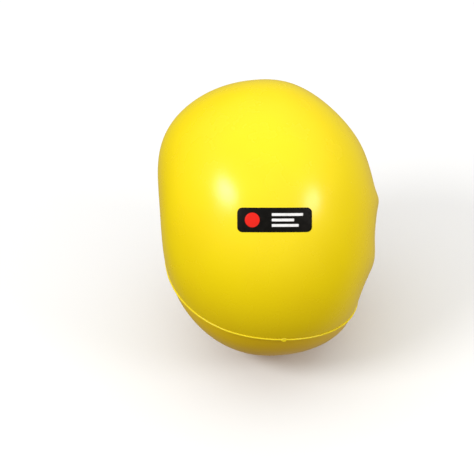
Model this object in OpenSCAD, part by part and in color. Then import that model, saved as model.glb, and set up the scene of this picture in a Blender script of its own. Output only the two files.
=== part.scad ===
// Foam stress ball, held in a light squeeze: a 70 mm ball pressed to a 56 mm wide egg.
// Origin at the centre of the ball. +X is the squeeze axis and points at the finger side,
// -X at the palm side. +Z is up. The printed label is on the front, -Y side.

/* [Ball] */
// Diameter of the round ball, which it keeps across the squeeze
ball_d = 70; // [60:1:80]
// Width across the palm and the fingers while it is squeezed
squeezed_w = 56; // [50:1:66]
// Fullness of the egg's outline: 2 is an ellipse, more is squarer
fullness = 2.2; // [2:0.05:2.5]
// Thickness of the dense painted skin
skin_t = 1.2; // [0.8:0.1:2]

/* [Parting line] */
// Height of the mould's parting plane, measured from the ball's centre
parting_z = -14; // [-20:0.5:-8]
// Tilt of the parting plane against the squeeze axis
parting_tilt = 11; // [0:1:15]
// Width of the raised bead along the parting line
bead_w = 0.6; // [0.4:0.1:1]
// How far the bead stands proud of the skin
bead_h = 0.25; // [0.15:0.05:0.5]
// Radius of the small nub that the mould's vent leaves on the bead
nub_r = 0.8; // [0.5:0.1:1.2]
// How far the nub stands proud of the skin
nub_h = 0.5; // [0.3:0.1:1]

/* [Label] */
// Width of the printed panel
label_w = 17.6; // [12:0.2:24]
// Height of the printed panel
label_h = 5.8; // [4:0.2:9]
// Corner radius of the panel
label_corner = 1.2; // [0.4:0.1:2]
// Distance of the panel's centre from the middle of the ball, towards the fingers
label_x = 1.2; // [0:0.1:3]
// Angle of the panel's centre above the horizon
label_elevation = 34; // [0:1:60]
// Turn of the panel, clockwise as seen from the front
label_turn = 5; // [0:1:15]
// Thickness of one coat of ink
ink_t = 0.1; // [0.06:0.01:0.2]

/* [Hidden] */

ball_r = ball_d / 2;
half_w = squeezed_w / 2;
profile_steps = 30;          // straight steps in the outline of one half
space = 2 * ball_d;          // larger than anything in the part
dot_r = 0.3 * label_h;       // red dot
bar_h = 0.11 * label_h;      // one white bar
bar_gap = 0.22 * label_h;    // from one bar to the next
bar_lengths = [0.42, 0.30, 0.36] * label_w;
dot_x = -0.30 * label_w;     // from the panel's centre
bars_x = -0.04 * label_w;    // where the bars start, from the panel's centre
nub_x = 4;                   // along the parting plane, just on the finger side of the middle

skin_yellow = [0.97, 0.88, 0.07];
lower_yellow = [0.90, 0.78, 0.08];
foam_cream = [0.93, 0.88, 0.66];
ink_black = [0.05, 0.05, 0.05];
ink_red = [0.85, 0.10, 0.08];
ink_white = [0.95, 0.95, 0.95];

// A point of the outline, moved out by grow: turn is 0 at the widest ring and 90 at the tip.
function outline(turn, grow) = [
    (ball_r + grow) * pow(cos(turn), 2 / fullness),
    (half_w + grow) * pow(sin(turn), 2 / fullness)
];

// One half of the egg, from its middle plane to its tip, as a solid of revolution about X.
module half_egg(side, grow = 0) {
    mirror([side == "palm" ? 1 : 0, 0, 0]) rotate([0, 90, 0]) rotate_extrude($fn = 96)
        polygon(concat([[0, 0]], [for (i = [0:profile_steps]) outline(90 * i / profile_steps, grow)]));
}

// The space between two outlines of one half.
module half_shell(side, inside, outside) {
    difference() {
        half_egg(side, outside);
        half_egg(side, inside);
    }
}

// Everything between two heights above the parting plane.
module parting_layer(from, to) {
    rotate([0, parting_tilt, 0]) translate([-space / 2, -space / 2, parting_z + from])
        cube([space, space, to - from]);
}

module foam_core(side) {
    color(foam_cream) half_egg(side, -skin_t);
}

module skin_upper(side) {
    color(skin_yellow) intersection() {
        half_shell(side, -skin_t, 0);
        parting_layer(0, space);
    }
}

module skin_lower(side) {
    color(lower_yellow) intersection() {
        half_shell(side, -skin_t, 0);
        parting_layer(-space, 0);
    }
}

module parting_bead(side) {
    color(skin_yellow) intersection() {
        half_shell(side, 0, bead_h);
        parting_layer(-bead_w / 2, bead_w / 2);
    }
}

// A short round peg on the front of the bead, outside the skin and the bead.
module vent_nub() {
    color(skin_yellow) difference() {
        intersection() {
            half_egg("finger", nub_h);
            rotate([0, parting_tilt, 0]) translate([nub_x, 0, parting_z])
                rotate([90, 0, 0]) cylinder(h = ball_r + nub_h, r = nub_r, $fn = 32);
        }
        half_egg("finger");
        parting_bead("finger");
    }
}

// A flat shape in the label's own plane, carried out through the skin.
module label_prism() {
    rotate([90 - label_elevation, 0, 0]) translate([label_x, 0, 0]) rotate([0, 0, -label_turn])
        linear_extrude(height = ball_r + 1) children();
}

module rounded_panel() {
    square([label_w - 2 * label_corner, label_h], center = true);
    square([label_w, label_h - 2 * label_corner], center = true);
    for (x = [-1, 1], y = [-1, 1])
        translate([x * (label_w / 2 - label_corner), y * (label_h / 2 - label_corner)])
            circle(r = label_corner, $fn = 32);
}

module label_panel(side) {
    color(ink_black) intersection() {
        half_shell(side, 0, ink_t);
        label_prism() rounded_panel();
    }
}

module label_dot() {
    color(ink_red) intersection() {
        half_shell("palm", ink_t, 2 * ink_t);
        label_prism() translate([dot_x, 0]) circle(r = dot_r, $fn = 48);
    }
}

module label_bars() {
    color(ink_white) intersection() {
        half_shell("finger", ink_t, 2 * ink_t);
        label_prism() for (i = [0:len(bar_lengths) - 1])
            translate([bars_x, (1 - i) * bar_gap - bar_h / 2]) square([bar_lengths[i], bar_h]);
    }
}

foam_core("palm");  // foam_core_palm
foam_core("finger");  // foam_core_finger
skin_upper("palm");  // skin_upper_palm
skin_upper("finger");  // skin_upper_finger
skin_lower("palm");  // skin_lower_palm
skin_lower("finger");  // skin_lower_finger
parting_bead("palm");  // parting_bead_palm
parting_bead("finger");  // parting_bead_finger
vent_nub();
label_panel("palm");  // label_panel_palm
label_panel("finger");  // label_panel_finger
label_dot();
label_bars();
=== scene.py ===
"""Looks of a foam stress ball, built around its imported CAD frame.

Metres. The origin is the ball's centre, +X is the squeeze axis and points at the finger side, and +Z is up.
"""

import math

import bpy
import numpy as np
from mathutils import Matrix, Vector

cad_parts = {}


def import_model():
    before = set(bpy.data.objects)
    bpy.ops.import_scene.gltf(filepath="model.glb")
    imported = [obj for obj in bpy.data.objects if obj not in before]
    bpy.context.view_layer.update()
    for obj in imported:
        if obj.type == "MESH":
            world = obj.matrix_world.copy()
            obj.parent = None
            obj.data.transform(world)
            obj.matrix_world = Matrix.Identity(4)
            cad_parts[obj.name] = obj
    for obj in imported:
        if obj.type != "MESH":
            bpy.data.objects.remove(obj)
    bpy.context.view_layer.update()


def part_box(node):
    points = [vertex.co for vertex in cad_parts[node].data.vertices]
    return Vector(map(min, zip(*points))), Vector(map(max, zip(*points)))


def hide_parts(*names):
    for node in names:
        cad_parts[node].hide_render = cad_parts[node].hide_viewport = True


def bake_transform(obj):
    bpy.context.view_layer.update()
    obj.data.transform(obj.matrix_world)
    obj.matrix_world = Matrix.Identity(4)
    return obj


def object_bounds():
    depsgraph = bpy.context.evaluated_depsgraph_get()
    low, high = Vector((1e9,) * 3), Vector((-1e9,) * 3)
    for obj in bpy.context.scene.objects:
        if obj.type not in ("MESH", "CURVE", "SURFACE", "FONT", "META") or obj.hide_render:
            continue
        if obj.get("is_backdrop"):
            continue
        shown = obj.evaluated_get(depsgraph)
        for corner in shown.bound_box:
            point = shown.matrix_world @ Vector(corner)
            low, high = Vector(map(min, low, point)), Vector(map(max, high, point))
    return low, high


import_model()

MM = 0.001

# ---------------------------------------------------------------- driving dimensions
EGG_LOW, EGG_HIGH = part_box("skin_upper_palm")
HALF_WIDTH = -EGG_LOW.x            # from the middle to the palm's end
BALL_RADIUS = EGG_HIGH.z           # across the squeeze
FULLNESS = 2.2                     # outline exponent, as in the CAD: 2 is an ellipse
SKIN_THICKNESS = 1.2 * MM
PARTING_HEIGHT = -14 * MM          # of the parting plane, from the ball's centre
PARTING_TILT = math.radians(11)
VIEW_ELEVATION = math.radians(37)

X_AXIS = np.array([1.0, 0.0, 0.0])
TO_CAMERA = np.array([0.0, -math.cos(VIEW_ELEVATION), math.sin(VIEW_ELEVATION)])
OUTLINE_UP = np.array([0.0, math.sin(VIEW_ELEVATION), math.cos(VIEW_ELEVATION)])
PARTING_NORMAL = np.array([math.sin(PARTING_TILT), 0.0, math.cos(PARTING_TILT)])
PARTING_ALONG = np.array([math.cos(PARTING_TILT), 0.0, -math.sin(PARTING_TILT)])
PARTING_FRONT = np.array([0.0, -1.0, 0.0])
PARTING_FOOT = PARTING_HEIGHT * PARTING_NORMAL

# Where the hand's grip shapes the ball: the angle round the outline from the finger side and the angle
# towards the front, how far it reaches in each of these, all in degrees, and its height in millimetres.
# Dents are negative.
GRIP_MARKS = {
    "palm": (175, 0, 28, 34, -1.2),
    "swell_over_palm": (138, 0, 20, 26, 1.4),
    "crown": (95, 0, 22, 28, -0.7),
    "heel_swell": (-62, 0, 20, 30, 1.1),
    "base_swell": (-95, 0, 24, 30, 0.7),
    "index": (55, -8, 20, 26, -2.4),
    "middle": (19, -20, 11, 38, -0.35),
    "ring": (-15, -16, 10, 34, -1.5),
    "little": (-43, -12, 12, 30, -2.0),
    "swell_middle_to_ring": (2.5, -4, 5, 20, 0.8),
    "swell_ring_to_little": (-29, -4, 7, 28, 0.3),
}


# ---------------------------------------------------------------- the ball's surface
def surface_radius(directions):
    """How far the skin is from the ball's centre in each unit direction."""
    along = np.abs(directions[:, 0]) / HALF_WIDTH
    across = np.hypot(directions[:, 1], directions[:, 2]) / BALL_RADIUS
    radius = (along ** FULLNESS + across ** FULLNESS) ** (-1 / FULLNESS)
    round_angle = np.degrees(np.arctan2(directions @ OUTLINE_UP, directions[:, 0]))
    front_angle = np.degrees(np.arcsin(np.clip(directions @ TO_CAMERA, -1, 1)))
    narrowing = np.cos(np.radians(front_angle))
    for at, front, reach, reach_front, height in GRIP_MARKS.values():
        turn = (round_angle - at + 180) % 360 - 180
        mark = (turn * narrowing / reach) ** 2 + ((front_angle - front) / reach_front) ** 2
        radius = radius + height * MM * np.exp(-mark)
    return radius


HALVINGS = 40                      # of the search along a ray, which leaves no visible error


def cast(starts, directions, grow=0.0):
    """Where rays from inside the ball meet its skin, moved out by grow."""
    near, far = np.zeros(len(starts)), np.full(len(starts), 3 * BALL_RADIUS)
    for _ in range(HALVINGS):
        middle = (near + far) / 2
        points = starts + middle[:, None] * directions
        distance = np.linalg.norm(points, axis=1)
        outside = distance > surface_radius(points / distance[:, None]) + grow
        far = np.where(outside, middle, far)
        near = np.where(outside, near, middle)
    return starts + ((near + far) / 2)[:, None] * directions


def turns_round(count):
    """Evenly spaced angles round a closed loop."""
    return np.linspace(0, 2 * math.pi, count, endpoint=False)


def parting_ring(latitude, count, grow=0.0):
    """A ring of skin points at one angle above the parting plane, seen from the foot of its normal."""
    turns = turns_round(count)
    flat = np.cos(turns)[:, None] * PARTING_ALONG + np.sin(turns)[:, None] * PARTING_FRONT
    directions = math.cos(latitude) * flat + math.sin(latitude) * PARTING_NORMAL
    return cast(np.tile(PARTING_FOOT, (count, 1)), directions, grow)


def pole(side, grow=0.0):
    """The skin point straight above (side 1) or below (side -1) the parting plane's foot."""
    return cast(PARTING_FOOT[None, :], side * PARTING_NORMAL[None, :], grow)[0]


def unevenness(turns, seed, waves=7):
    """A smooth random wobble round a loop, mostly between -1 and 1."""
    random = np.random.default_rng(seed)
    total = np.zeros(len(turns))
    for wave in range(1, waves + 1):
        total += random.normal() * np.sin(wave * wave * turns + random.uniform(0, 2 * math.pi)) / waves
    return total


# ---------------------------------------------------------------- meshes
REST_PLACE = "rest_place"          # the attribute that materials read their patterns' place from
SHARP_ANGLE = math.radians(50)


def add(name, data):
    """A new object in the scene."""
    piece = bpy.data.objects.new(name, data)
    bpy.context.scene.collection.objects.link(piece)
    return piece


def keep_rest_place(mesh):
    """Stores where each vertex is at rest, so that the materials' patterns stretch with the foam."""
    places = np.zeros(3 * len(mesh.vertices), np.float32)
    mesh.vertices.foreach_get("co", places)
    mesh.attributes.new(REST_PLACE, "FLOAT_VECTOR", "POINT").data.foreach_set("vector", places)


def turn_outwards(mesh):
    """Flips every face of a closed mesh if it encloses a negative volume."""
    mesh.calc_loop_triangles()
    corners = np.array([[mesh.vertices[v].co for v in t.vertices] for t in mesh.loop_triangles])
    if np.einsum("ij,ij->", corners[:, 0], np.cross(corners[:, 1], corners[:, 2])) < 0:
        mesh.flip_normals()


def mesh_of_rings(name, rings, first_pole=None, last_pole=None):
    """A closed mesh of quads between rings of points: with a fan at each pole, or a loop that has none."""
    count = len(rings[0])
    points = [tuple(p) for ring in rings for p in ring]
    faces = []
    pairs = len(rings) if first_pole is None else len(rings) - 1
    for i in range(pairs):
        here, there = i * count, (i + 1) % len(rings) * count
        for j in range(count):
            k = (j + 1) % count
            faces.append((here + j, here + k, there + k, there + j))
    if first_pole is not None:
        points += [tuple(first_pole), tuple(last_pole)]
        first, last, start = len(points) - 2, len(points) - 1, (len(rings) - 1) * count
        faces += [(first, (j + 1) % count, j) for j in range(count)]
        faces += [(last, start + j, start + (j + 1) % count) for j in range(count)]
    mesh = bpy.data.meshes.new(name)
    mesh.from_pydata(points, [], faces)
    mesh.validate()
    turn_outwards(mesh)
    keep_rest_place(mesh)
    mesh.shade_smooth()
    mesh.set_sharp_from_angle(angle=SHARP_ANGLE)
    return add(name, mesh)


# ---------------------------------------------------------------- skin and foam
SKIN_COUNT = 320                   # points round a ring of skin
EDGE_STEPS = (0.0, 0.12, 0.25, 0.4, 0.6, 0.9, 1.3, 1.9)     # degrees from the parting plane, close together
OUTER_STEPS = np.linspace(2.6, 89.4, 120)    # and on to the pole
INNER_STEPS = np.linspace(3, 87, 29)     # the same for the skin's inner face, which needs fewer
EDGE_ROUND = 0.16 * MM             # how far the skin's edge rolls in at the parting plane
EDGE_REACH = 0.45                  # degrees over which it rolls in
LOWER_STEP = 0.22 * MM             # how far the lower skin is set in at the parting plane
LOWER_STEP_REACH = 10              # degrees over which that fades


def skin(name, side):
    """One area of skin, from the parting plane to its pole, as a closed shell."""
    outer = []
    for degrees in (*EDGE_STEPS, *OUTER_STEPS):
        grow = -EDGE_ROUND * math.exp(-(degrees / EDGE_REACH) ** 2)
        if side < 0:
            grow -= LOWER_STEP * math.exp(-(degrees / LOWER_STEP_REACH) ** 2)
        outer.append(parting_ring(side * math.radians(degrees), SKIN_COUNT, grow))
    inner = [
        parting_ring(side * math.radians(degrees), SKIN_COUNT, -SKIN_THICKNESS)
        for degrees in (0.0, *INNER_STEPS)
    ]
    return mesh_of_rings(name, outer[::-1] + inner, pole(side), pole(side, -SKIN_THICKNESS))


CORE_COUNT = 160                   # points round a ring of foam
CORE_STEPS = np.linspace(-88, 88, 89)    # degrees from the parting plane
CORE_CLEARANCE = 0.05 * MM         # between the foam and its skin
CELL_DEPTH = 0.04 * MM


def foam_core(name):
    """The soft foam inside the skin, with the slight roughness that open cells give it."""
    inside = -SKIN_THICKNESS - CORE_CLEARANCE
    rings = []
    for i, degrees in enumerate(CORE_STEPS):
        cells = CELL_DEPTH * unevenness(turns_round(CORE_COUNT), seed=i)[:, None]
        ring = parting_ring(math.radians(degrees), CORE_COUNT, inside)
        outward = ring / np.linalg.norm(ring, axis=1)[:, None]
        rings.append(ring - np.abs(cells) * outward)
    return mesh_of_rings(name, rings, pole(-1, inside), pole(1, inside))


# ---------------------------------------------------------------- parting bead and vent nub
BEAD_COUNT = 720                   # points round the ball
BEAD_HALF_WIDTH = 0.24 * MM
BEAD_HEIGHT = 0.26 * MM
BEAD_LEAN = 0.06 * MM              # how far its top wanders to either side
BEAD_HEIGHT_VARIES = 0.28          # share of its height and of its width by which each varies
BEAD_WIDTH_VARIES = 0.22
BEAD_ROOT = 0.5 * MM               # how deep the bead's root sits between the two skins
# The ridge's section: across it in half widths, and out from the skin in heights, or in root depths below it.
BEAD_PROFILE = [(math.cos(math.radians(a)), math.sin(math.radians(a)) ** 0.8) for a in range(0, 181, 15)]
BEAD_PROFILE += [(-0.7, -0.5), (-0.3, -1.0), (0.3, -1.0), (0.7, -0.5)]


def bead(name):
    """The flash left where the mould's halves met: a fine uneven ridge that runs right round the ball."""
    turns = turns_round(BEAD_COUNT)
    base = parting_ring(0.0, BEAD_COUNT)
    outward = base - PARTING_FOOT
    outward /= np.linalg.norm(outward, axis=1)[:, None]
    height = BEAD_HEIGHT * (1 + BEAD_HEIGHT_VARIES * unevenness(turns, seed=11, waves=9))[:, None]
    width = BEAD_HALF_WIDTH * (1 + BEAD_WIDTH_VARIES * unevenness(turns, seed=12, waves=9))[:, None]
    lean = BEAD_LEAN * unevenness(turns, seed=13, waves=6)[:, None]
    rings = []
    for across, up in BEAD_PROFILE:
        rise = np.where(up > 0, up * height, up * BEAD_ROOT)
        rings.append(base + rise * outward + (across * width + max(up, 0) * lean) * PARTING_NORMAL)
    return mesh_of_rings(name, rings)


NUB_COUNT = 48                     # points round the nub
NUB_FLATNESS = 0.75                # its size across the parting line, as a share of that along it
NUB_RADIUS_VARIES = 0.10
NUB_ROOT, NUB_HOLLOW = -0.4 * MM, 0.24 * MM    # its lowest point and the bottom of its hollow, over the skin
# From the root to the hollow: a ring's radius in nub radii, and its height over the skin in millimetres.
NUB_PROFILE = ((1.0, -0.4), (1.0, -0.05), (0.96, 0.12), (0.86, 0.26), (0.7, 0.34), (0.5, 0.33), (0.25, 0.26))


def nub(name):
    """The torn stub that the mould's vent leaves on the bead: a low uneven button with a hollow top."""
    low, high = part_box("vent_nub")
    outward = np.array((low + high) / 2) - PARTING_FOOT
    outward /= np.linalg.norm(outward)
    foot = cast(PARTING_FOOT[None, :], outward[None, :])[0]
    right = np.cross(outward, PARTING_NORMAL)
    right /= np.linalg.norm(right)
    up = np.cross(right, outward)
    radius = (high.x - low.x) / 2
    turns = turns_round(NUB_COUNT)
    circle = np.cos(turns)[:, None] * right + NUB_FLATNESS * np.sin(turns)[:, None] * up
    circle *= radius * (1 + NUB_RADIUS_VARIES * unevenness(turns, seed=21, waves=5))[:, None]
    rings = [foot + rise * MM * outward + spread * circle for spread, rise in NUB_PROFILE]
    return mesh_of_rings(name, rings, foot + NUB_ROOT * outward, foot + NUB_HOLLOW * outward)


# ---------------------------------------------------------------- the printed label
LABEL_WIDTH = 17.6 * MM
LABEL_HEIGHT = 5.8 * MM
LABEL_CORNER = 1.2 * MM
LABEL_X = 1.2 * MM
LABEL_ELEVATION = math.radians(34)
LABEL_TURN = math.radians(5)
DOT_RADIUS = 0.30 * LABEL_HEIGHT
DOT_X = -0.30 * LABEL_WIDTH
BAR_HEIGHT = 0.11 * LABEL_HEIGHT
BAR_GAP = 0.22 * LABEL_HEIGHT
BAR_CORNER = 0.12 * MM
BAR_LENGTHS = (0.42 * LABEL_WIDTH, 0.30 * LABEL_WIDTH, 0.36 * LABEL_WIDTH)
BARS_X = -0.04 * LABEL_WIDTH       # where the bars start
COAT = 0.05 * MM                   # one coat of ink
COAT_OVERLAP = 0.02 * MM           # how far a coat sinks into what is under it, and draws in at its top edge
INK_RING_GAP = 0.4 * MM            # between the rings of a coat's mesh
INK_EDGE_VARIES = 0.004
INK_SHOULDER = 0.6                 # how far up its edge a coat begins to draw in

LABEL_OUT = np.array([0.0, -math.cos(LABEL_ELEVATION), math.sin(LABEL_ELEVATION)])
LABEL_TOP = np.array([0.0, math.sin(LABEL_ELEVATION), math.cos(LABEL_ELEVATION)])
LABEL_RIGHT = math.cos(LABEL_TURN) * X_AXIS - math.sin(LABEL_TURN) * LABEL_TOP
LABEL_UP = math.sin(LABEL_TURN) * X_AXIS + math.cos(LABEL_TURN) * LABEL_TOP
LABEL_CENTRE = LABEL_X * X_AXIS


def rounded_outline(width, height, corner, step=0.12 * MM):
    """Points round a rectangle with round corners, about evenly spaced, in the label's own plane."""
    arc = max(6, int(corner * math.pi / 2 / step))
    across, up = width / 2 - corner, height / 2 - corner
    corners = []
    for x, y, start in ((across, up, 0), (-across, up, 90), (-across, -up, 180), (across, -up, 270)):
        turns = np.radians(start + np.linspace(0, 90, arc + 1))
        corners.append(np.stack([x + corner * np.cos(turns), y + corner * np.sin(turns)], axis=1))
    outline = []
    for here, there in zip(corners, corners[1:] + corners[:1]):
        gap = there[0] - here[-1]
        # corners that meet share one point, so a gap of next to nothing takes no steps
        steps = math.ceil(np.linalg.norm(gap) / step - 0.001)
        outline += list(here[:-1]) + [here[-1] + gap * i / steps for i in range(steps)]
    return np.array(outline)


def ink(name, outline, centre, coats, seed):
    """A coat of ink on the skin, with a pad print's faintly uneven edge. coats counts from the skin."""
    turns = turns_round(len(outline))
    outline = outline * (1 + INK_EDGE_VARIES * unevenness(turns, seed, waves=8))[:, None] + np.array(centre)
    middle = outline.mean(axis=0)
    low, high = (coats - 1) * COAT - COAT_OVERLAP, coats * COAT

    def lay(scale, grow):
        flat = middle + (outline - middle) * scale
        starts = LABEL_CENTRE + flat[:, :1] * LABEL_RIGHT + flat[:, 1:] * LABEL_UP
        return cast(starts, np.tile(LABEL_OUT, (len(starts), 1)), grow)

    reach = np.linalg.norm(outline - middle, axis=1).max()
    scales = np.linspace(1, 0, max(6, int(reach / INK_RING_GAP)), endpoint=False)[1:]
    under = [lay(s, low) for s in scales[::-1]] + [lay(1.0, low)]
    edge = [lay(1.0, low + INK_SHOULDER * (high - low)), lay(1 - COAT_OVERLAP / reach, high)]
    over = [lay(s, high) for s in scales]
    start = (LABEL_CENTRE + middle[0] * LABEL_RIGHT + middle[1] * LABEL_UP)[None, :]
    ends = [cast(start, LABEL_OUT[None, :], grow)[0] for grow in (low, high)]
    return mesh_of_rings(name, under + edge + over, *ends)


def label_pieces():
    """The black panel, the red dot and the white bars."""
    panel_outline = rounded_outline(LABEL_WIDTH, LABEL_HEIGHT, LABEL_CORNER)
    panel = ink("label_panel", panel_outline, centre=(0, 0), coats=1, seed=31)
    dot_outline = rounded_outline(2 * DOT_RADIUS, 2 * DOT_RADIUS, DOT_RADIUS)
    dot = ink("label_dot_print", dot_outline, centre=(DOT_X, 0), coats=2, seed=32)
    bars = []
    for i, length in enumerate(BAR_LENGTHS):
        outline = rounded_outline(length, BAR_HEIGHT, BAR_CORNER, step=0.1 * MM)
        centre = (BARS_X + length / 2, (1 - i) * BAR_GAP)
        bars.append(ink(f"label_bar_{i + 1}", outline, centre, coats=2, seed=33 + i))
    return panel, dot, bars


# ---------------------------------------------------------------- materials
MIX_COLOURS, MIXED_COLOUR = (6, 7), 2    # the Mix node's colour sockets, which share their names with others


class Nodes:
    """A node tree, of a material or of the world, with short calls for the nodes used here."""

    def __init__(self, owner, shader="Principled BSDF"):
        owner.use_nodes = True
        self.tree = owner.node_tree
        self.shader = self.tree.nodes[shader]

    def link(self, source, node, socket):
        self.tree.links.new(source, node.inputs[socket])

    def feed(self, node, socket, value):
        """Gives an input a number, a colour, or another node's output."""
        if isinstance(value, bpy.types.NodeSocket):
            self.link(value, node, socket)
        else:
            node.inputs[socket].default_value = (*value, 1) if isinstance(value, tuple) else value

    def place(self):
        """Where the point is at rest."""
        node = self.tree.nodes.new("ShaderNodeAttribute")
        node.attribute_name = REST_PLACE
        return node.outputs["Vector"]

    def noise(self, size, detail=3.0, roughness=0.5):
        """A noise whose features are about size metres across."""
        node = self.tree.nodes.new("ShaderNodeTexNoise")
        node.inputs["Scale"].default_value = 1 / size
        node.inputs["Detail"].default_value = detail
        node.inputs["Roughness"].default_value = roughness
        self.link(self.place(), node, "Vector")
        return node.outputs["Fac"]

    def cells(self, size):
        """The distance from the nearest of scattered points about size metres apart."""
        node = self.tree.nodes.new("ShaderNodeTexVoronoi")
        node.inputs["Scale"].default_value = 1 / size
        self.link(self.place(), node, "Vector")
        return node.outputs["Distance"]

    def along(self, source, direction):
        """How far the vector source goes along a direction."""
        node = self.tree.nodes.new("ShaderNodeVectorMath")
        node.operation = "DOT_PRODUCT"
        node.inputs[1].default_value = tuple(direction)
        self.link(source, node, 0)
        return node.outputs["Value"]

    def spread(self, source, low, high, to_low=0.0, to_high=1.0):
        """source taken from low..high to to_low..to_high, smoothly."""
        node = self.tree.nodes.new("ShaderNodeMapRange")
        node.interpolation_type = "SMOOTHSTEP"
        for socket, value in zip(("From Min", "From Max", "To Min", "To Max"), (low, high, to_low, to_high)):
            node.inputs[socket].default_value = value
        self.link(source, node, "Value")
        return node.outputs["Result"]

    def math(self, operation, first, second):
        node = self.tree.nodes.new("ShaderNodeMath")
        node.operation = operation
        self.feed(node, 0, first)
        self.feed(node, 1, second)
        return node.outputs["Value"]

    def mix(self, factor, first, second):
        """Two colours mixed by factor."""
        node = self.tree.nodes.new("ShaderNodeMix")
        node.data_type = "RGBA"
        self.link(factor, node, "Factor")
        for socket, value in zip(MIX_COLOURS, (first, second)):
            self.feed(node, socket, value)
        return node.outputs[MIXED_COLOUR]

    def bump(self, height, distance, under=None):
        node = self.tree.nodes.new("ShaderNodeBump")
        node.inputs["Distance"].default_value = distance
        node.inputs["Strength"].default_value = 1.0
        self.link(height, node, "Height")
        if under is not None:
            self.link(under, node, "Normal")
        return node.outputs["Normal"]

    def surface(self, colour, roughness, normal, **constants):
        self.link(colour, self.shader, "Base Color")
        self.link(roughness, self.shader, "Roughness")
        self.link(normal, self.shader, "Normal")
        for socket, value in constants.items():
            self.shader.inputs[socket.replace("_", " ")].default_value = value


def painted_skin(name, main, deep, colour_of_dust_and_shade, roughness):
    """Flexible paint over dense foam: semi-gloss, faintly mottled and orange-peeled, with rare pinholes."""
    material = bpy.data.materials.new(name)
    nodes = Nodes(material)
    mottle = nodes.spread(nodes.noise(16 * MM, detail=2), 0.35, 0.7)
    colour = nodes.mix(mottle, main, deep)
    # painted shade and dust: within a millimetre of the parting line the paint turns darker and more orange,
    # where the crease beside the bead lies in shade
    above_line = nodes.math("SUBTRACT", nodes.along(nodes.place(), PARTING_NORMAL), PARTING_HEIGHT)
    near_line = nodes.spread(nodes.math("ABSOLUTE", above_line, 0.0), 0.9 * MM, 0.2 * MM)
    dust_and_shade_mix = nodes.math("MULTIPLY", near_line, nodes.spread(nodes.noise(3 * MM), 0.3, 0.7, 0.3, 0.8))
    colour = nodes.mix(dust_and_shade_mix, colour, colour_of_dust_and_shade)
    pinholes = nodes.spread(nodes.cells(4.5 * MM), 0.02, 0.035)
    patches = nodes.spread(nodes.noise(9 * MM, detail=4), 0.3, 0.7, roughness - 0.02, roughness + 0.03)
    peel = nodes.bump(nodes.noise(0.9 * MM, detail=2), 0.006 * MM)
    nodes.surface(colour, patches, nodes.bump(pinholes, 0.03 * MM, under=peel), Specular_IOR_Level=0.5)
    return material


def foam(name):
    """Cream open-cell foam."""
    material = bpy.data.materials.new(name)
    nodes = Nodes(material)
    walls = nodes.spread(nodes.cells(0.8 * MM), 0.1, 0.6)
    colour = nodes.mix(walls, (0.50, 0.42, 0.22), (0.84, 0.76, 0.50))
    rough = nodes.spread(nodes.noise(2 * MM), 0.3, 0.7, 0.82, 0.95)
    normal = nodes.bump(walls, 0.25 * MM)
    nodes.surface(colour, rough, normal, Specular_IOR_Level=0.25, Sheen_Weight=0.15)
    return material


def pad_ink(name, thick, thin):
    """Satin ink with the slight streaks of a pad print."""
    material = bpy.data.materials.new(name)
    nodes = Nodes(material)
    streaks = nodes.spread(nodes.noise(1.6 * MM, detail=5, roughness=0.6), 0.42, 0.72)
    colour = nodes.mix(streaks, thick, thin)
    rough = nodes.spread(nodes.noise(0.7 * MM), 0.3, 0.7, 0.42, 0.58)
    normal = nodes.bump(nodes.noise(0.35 * MM, detail=3), 0.004 * MM)
    nodes.surface(colour, rough, normal, Specular_IOR_Level=0.18)
    return material


# ---------------------------------------------------------------- the stress ball
# A paint's main colour, its colour in the deeper patches of the mottle, its colour beside the parting bead,
# where dust and painted shade darken it, and its roughness. The lower area is more orange: painted shade.
UPPER_PAINT = ((0.95, 0.75, 0.004), (0.93, 0.72, 0.004), (0.60, 0.40, 0.006), 0.26)
# painted shade: the lower skin's paint is a darker, more orange copy of the yellow, standing in for the shade
# and warm bounce light under the ball
LOWER_SHADED_PAINT = ((0.93, 0.67, 0.004), (0.91, 0.64, 0.004), (0.50, 0.29, 0.006), 0.30)
BEAD_PAINT = ((0.95, 0.78, 0.02), (0.94, 0.76, 0.02), (0.95, 0.77, 0.02), 0.26)
# An ink's colour where it is thick and where it is thin
BLACK_INK = ((0.002, 0.002, 0.002), (0.006, 0.005, 0.004))
RED_INK = ((0.78, 0.012, 0.004), (0.68, 0.016, 0.005))
WHITE_INK = ((0.86, 0.86, 0.86), (0.72, 0.72, 0.70))


def dress(piece, material, slot, *nodes):
    """Gives a piece its material, bakes its transform into its mesh and hides the CAD nodes that it stands in
    for. slot is not used.
    """
    piece.data.materials.append(material)
    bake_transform(piece)
    if nodes:
        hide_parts(*nodes)


def stress_ball():
    upper = skin("ball_skin_upper", 1)
    lower = skin("ball_skin_lower", -1)
    core = foam_core("ball_foam_core")
    line = bead("ball_parting_bead")
    stub = nub("ball_vent_nub")
    panel, dot, bars = label_pieces()

    upper_paint = painted_skin("yellow_paint", *UPPER_PAINT)
    # painted shade: the darker, more orange copy of the paint, for the lower skin
    lower_shaded_paint = painted_skin("yellow_paint_shaded_lower", *LOWER_SHADED_PAINT)
    bead_paint = painted_skin("yellow_paint_bead", *BEAD_PAINT)
    white = pad_ink("white_ink", *WHITE_INK)

    dress(upper, upper_paint, "skin_upper", "skin_upper_palm", "skin_upper_finger")
    dress(lower, lower_shaded_paint, "skin_lower", "skin_lower_palm", "skin_lower_finger")
    dress(core, foam("cream_foam"), "foam", "foam_core_palm", "foam_core_finger")
    dress(line, bead_paint, "parting_bead", "parting_bead_palm", "parting_bead_finger")
    dress(stub, bead_paint, "parting_bead", "vent_nub")
    dress(panel, pad_ink("black_ink", *BLACK_INK), "ink_black", "label_panel_palm", "label_panel_finger")
    dress(dot, pad_ink("red_ink", *RED_INK), "ink_red", "label_dot")
    dress(bars[0], white, "ink_white", "label_bars")
    for bar in bars[1:]:
        dress(bar, white, "ink_white")


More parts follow.
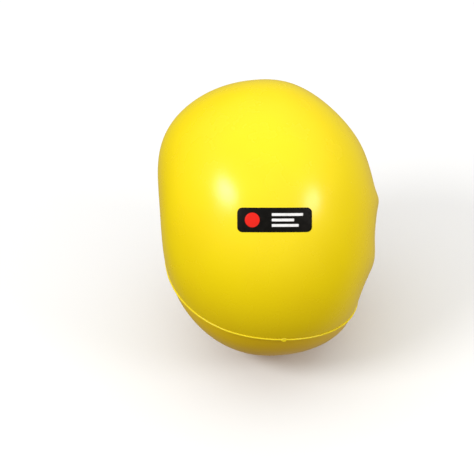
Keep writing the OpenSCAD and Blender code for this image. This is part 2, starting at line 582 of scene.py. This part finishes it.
stress_ball()


# ---------------------------------------------------------------- floor, light and camera
CAMERA_DISTANCE = 0.45
CAMERA_LENS = 134.5
CAMERA_ROLL = math.radians(5)
# From the middle of the picture to the ball's centre, measured at the ball
BALL_RIGHT_OF_MIDDLE = 7.5 * MM
BALL_ABOVE_MIDDLE = 5.7 * MM


def camera():
    """Looks down on the ball's front from VIEW_ELEVATION, and is turned a little."""
    data = bpy.data.cameras.new("camera")
    data.lens = CAMERA_LENS
    data.clip_start, data.clip_end = 0.01, 20
    back = Vector(TO_CAMERA)
    turn = Matrix.Rotation(-CAMERA_ROLL, 3, back)
    right, up = turn @ Vector(X_AXIS), turn @ Vector(OUTLINE_UP)
    aim = -BALL_RIGHT_OF_MIDDLE * right - BALL_ABOVE_MIDDLE * up
    axes = Matrix((right, up, back)).transposed().to_4x4()
    piece = add("camera", data)
    piece.matrix_world = Matrix.Translation(aim + CAMERA_DISTANCE * back) @ axes
    bpy.context.scene.camera = piece


def heading(azimuth, elevation):
    """The direction from the ball to a place. Azimuth 0 is in front, on the -Y side, and 90 is towards +X."""
    a, e = math.radians(azimuth), math.radians(elevation)
    return Vector((math.sin(a) * math.cos(e), -math.cos(a) * math.cos(e), math.sin(e)))


def softbox(name, azimuth, elevation, width, height, power, distance=0.9):
    """A lamp aimed at the ball, which the paint mirrors as a soft spot."""
    data = bpy.data.lights.new(name, "AREA")
    data.shape, data.size, data.size_y, data.energy = "ELLIPSE", width, height, power
    back = heading(azimuth, elevation)
    piece = add(name, data)
    piece.location = back * distance
    piece.rotation_mode = "QUATERNION"
    piece.rotation_quaternion = back.to_track_quat("Z", "Y")


FLOOR_SIZE = 3.0                   # from its middle to an edge


def floor():
    """A plain pale floor. It takes the ball's shadow but sends no light back, as if the ball were held."""
    size, height = FLOOR_SIZE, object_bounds()[0].z
    mesh = bpy.data.meshes.new("floor")
    corners = [(-size, -size, height), (size, -size, height), (size, size, height), (-size, size, height)]
    mesh.from_pydata(corners, [], [(0, 1, 2, 3)])
    keep_rest_place(mesh)
    material = bpy.data.materials.new("pale_floor")
    nodes = Nodes(material)
    shade = nodes.mix(nodes.noise(0.4), (0.84, 0.84, 0.84), (0.86, 0.86, 0.86))
    rough = nodes.spread(nodes.noise(0.05), 0.3, 0.7, 0.85, 0.95)
    nodes.surface(shade, rough, nodes.bump(nodes.noise(0.002), 0.01 * MM), Specular_IOR_Level=0.1)
    mesh.materials.append(material)
    piece = add("floor", mesh)
    piece.visible_diffuse = False
    piece.visible_glossy = False
    piece.visible_shadow = False
    piece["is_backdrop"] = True


FILL_ABOVE = (0.98, 0.98, 0.98)    # soft light from the room's upper half
FILL_BELOW = (0.17, 0.09, 0.05)    # and a warm glow from its lower half, as a hand under the ball gives
MIRRORED_ABOVE = (0.4, 0.4, 0.4)   # what the paint's gloss mirrors overhead
MIRRORED_LEVEL = (0.22, 0.15, 0.03)    # at eye level and below
MIRRORED_BEHIND = (0.45, 0.34, 0.22)   # and past its rim, where the hand that holds the ball would be
HAND_SIDE = math.radians(25)       # how far round to the finger side that is
BACKDROP = (0.80, 0.80, 0.80)
# Where each gives way to the next, as the cosine of the angle from straight up, or from the hand
FILL_CHANGE = (-0.5, 0.5)
MIRRORED_CHANGE = (0.2, 0.95)
BEHIND_CHANGE = (0.4, 0.95)


def world():
    """The room: even fill light, a backdrop, and dim surroundings in the ball's reflections."""
    studio = bpy.data.worlds.new("studio")
    nodes = Nodes(studio, "Background")
    outwards = nodes.tree.nodes.new("ShaderNodeTexCoord").outputs["Generated"]
    ray = nodes.tree.nodes.new("ShaderNodeLightPath").outputs
    up = nodes.along(outwards, (0, 0, 1))
    behind = nodes.along(outwards, math.sin(HAND_SIDE) * X_AXIS - math.cos(HAND_SIDE) * TO_CAMERA)
    fill = nodes.mix(nodes.spread(up, *FILL_CHANGE), FILL_BELOW, FILL_ABOVE)
    mirrored = nodes.mix(nodes.spread(up, *MIRRORED_CHANGE), MIRRORED_LEVEL, MIRRORED_ABOVE)
    mirrored = nodes.mix(nodes.spread(behind, *BEHIND_CHANGE), mirrored, MIRRORED_BEHIND)
    room = nodes.mix(ray["Is Glossy Ray"], fill, mirrored)
    nodes.link(nodes.mix(ray["Is Camera Ray"], room, BACKDROP), nodes.shader, "Color")
    studio.cycles.sampling_method = "NONE"    # so that only glossy rays meet what is mirrored
    bpy.context.scene.world = studio


camera()
softbox("left_softbox", azimuth=-60, elevation=43, width=0.43, height=0.25, power=3.1)
softbox("right_softbox", azimuth=55.5, elevation=30, width=0.36, height=0.25, power=1.6)
floor()
world()
bpy.context.scene.view_settings.view_transform = "Standard"
